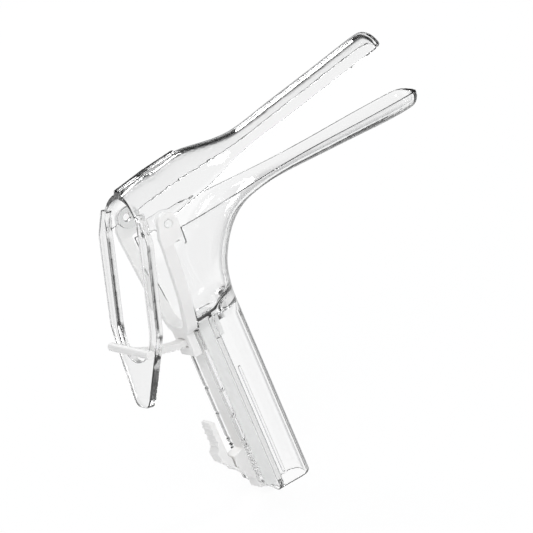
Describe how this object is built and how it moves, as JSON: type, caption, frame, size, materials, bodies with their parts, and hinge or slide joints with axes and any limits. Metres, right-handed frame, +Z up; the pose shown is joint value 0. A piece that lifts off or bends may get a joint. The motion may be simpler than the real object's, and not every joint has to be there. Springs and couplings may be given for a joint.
{
  "type": "bivalve speculum",
  "caption": "Clear plastic bivalve speculum, a little open: hinged trough blades, thumb lever, hollow handle, sliding milky yoke, ratchet strap and release tab.",
  "frame": {"origin": "centre of the handle's flat lower end", "axes": "+Z up along the handle, +X towards the blade tips, +Y across the blades"},
  "size_m": [0.1483, 0.0426, 0.1367],
  "materials": {
    "clear_plastic": "clear, polished moulding",
    "milky_plastic": "milky white, satin moulding"
  },
  "bodies": {
    "handle_body": {"lower_blade": "clear_plastic"},
    "yoke_body": {"yoke": "milky_plastic"},
    "upper_body": {"upper_blade": "clear_plastic", "ratchet_strap": "milky_plastic"},
    "tab_body": {"release_tab": "milky_plastic"}
  },
  "joints": [
    {"name": "yoke_slide", "type": "slide", "parent": "handle_body", "child": "yoke_body", "axis": [0, 0, 1], "range_m": [0, 0.015]},
    {"name": "blade_hinge", "type": "hinge", "parent": "yoke_body", "child": "upper_body", "pos_m": [-0.009, 0, 0.113], "axis": [0, -1, 0], "range_deg": [-11, 11]},
    {"name": "tab_flex", "type": "hinge", "parent": "yoke_body", "child": "tab_body", "pos_m": [-0.016, 0, 0.0138], "axis": [0, 1, 0], "range_deg": [0, 5], "stiffness_Nm_per_rad": 0.05}
  ]
}
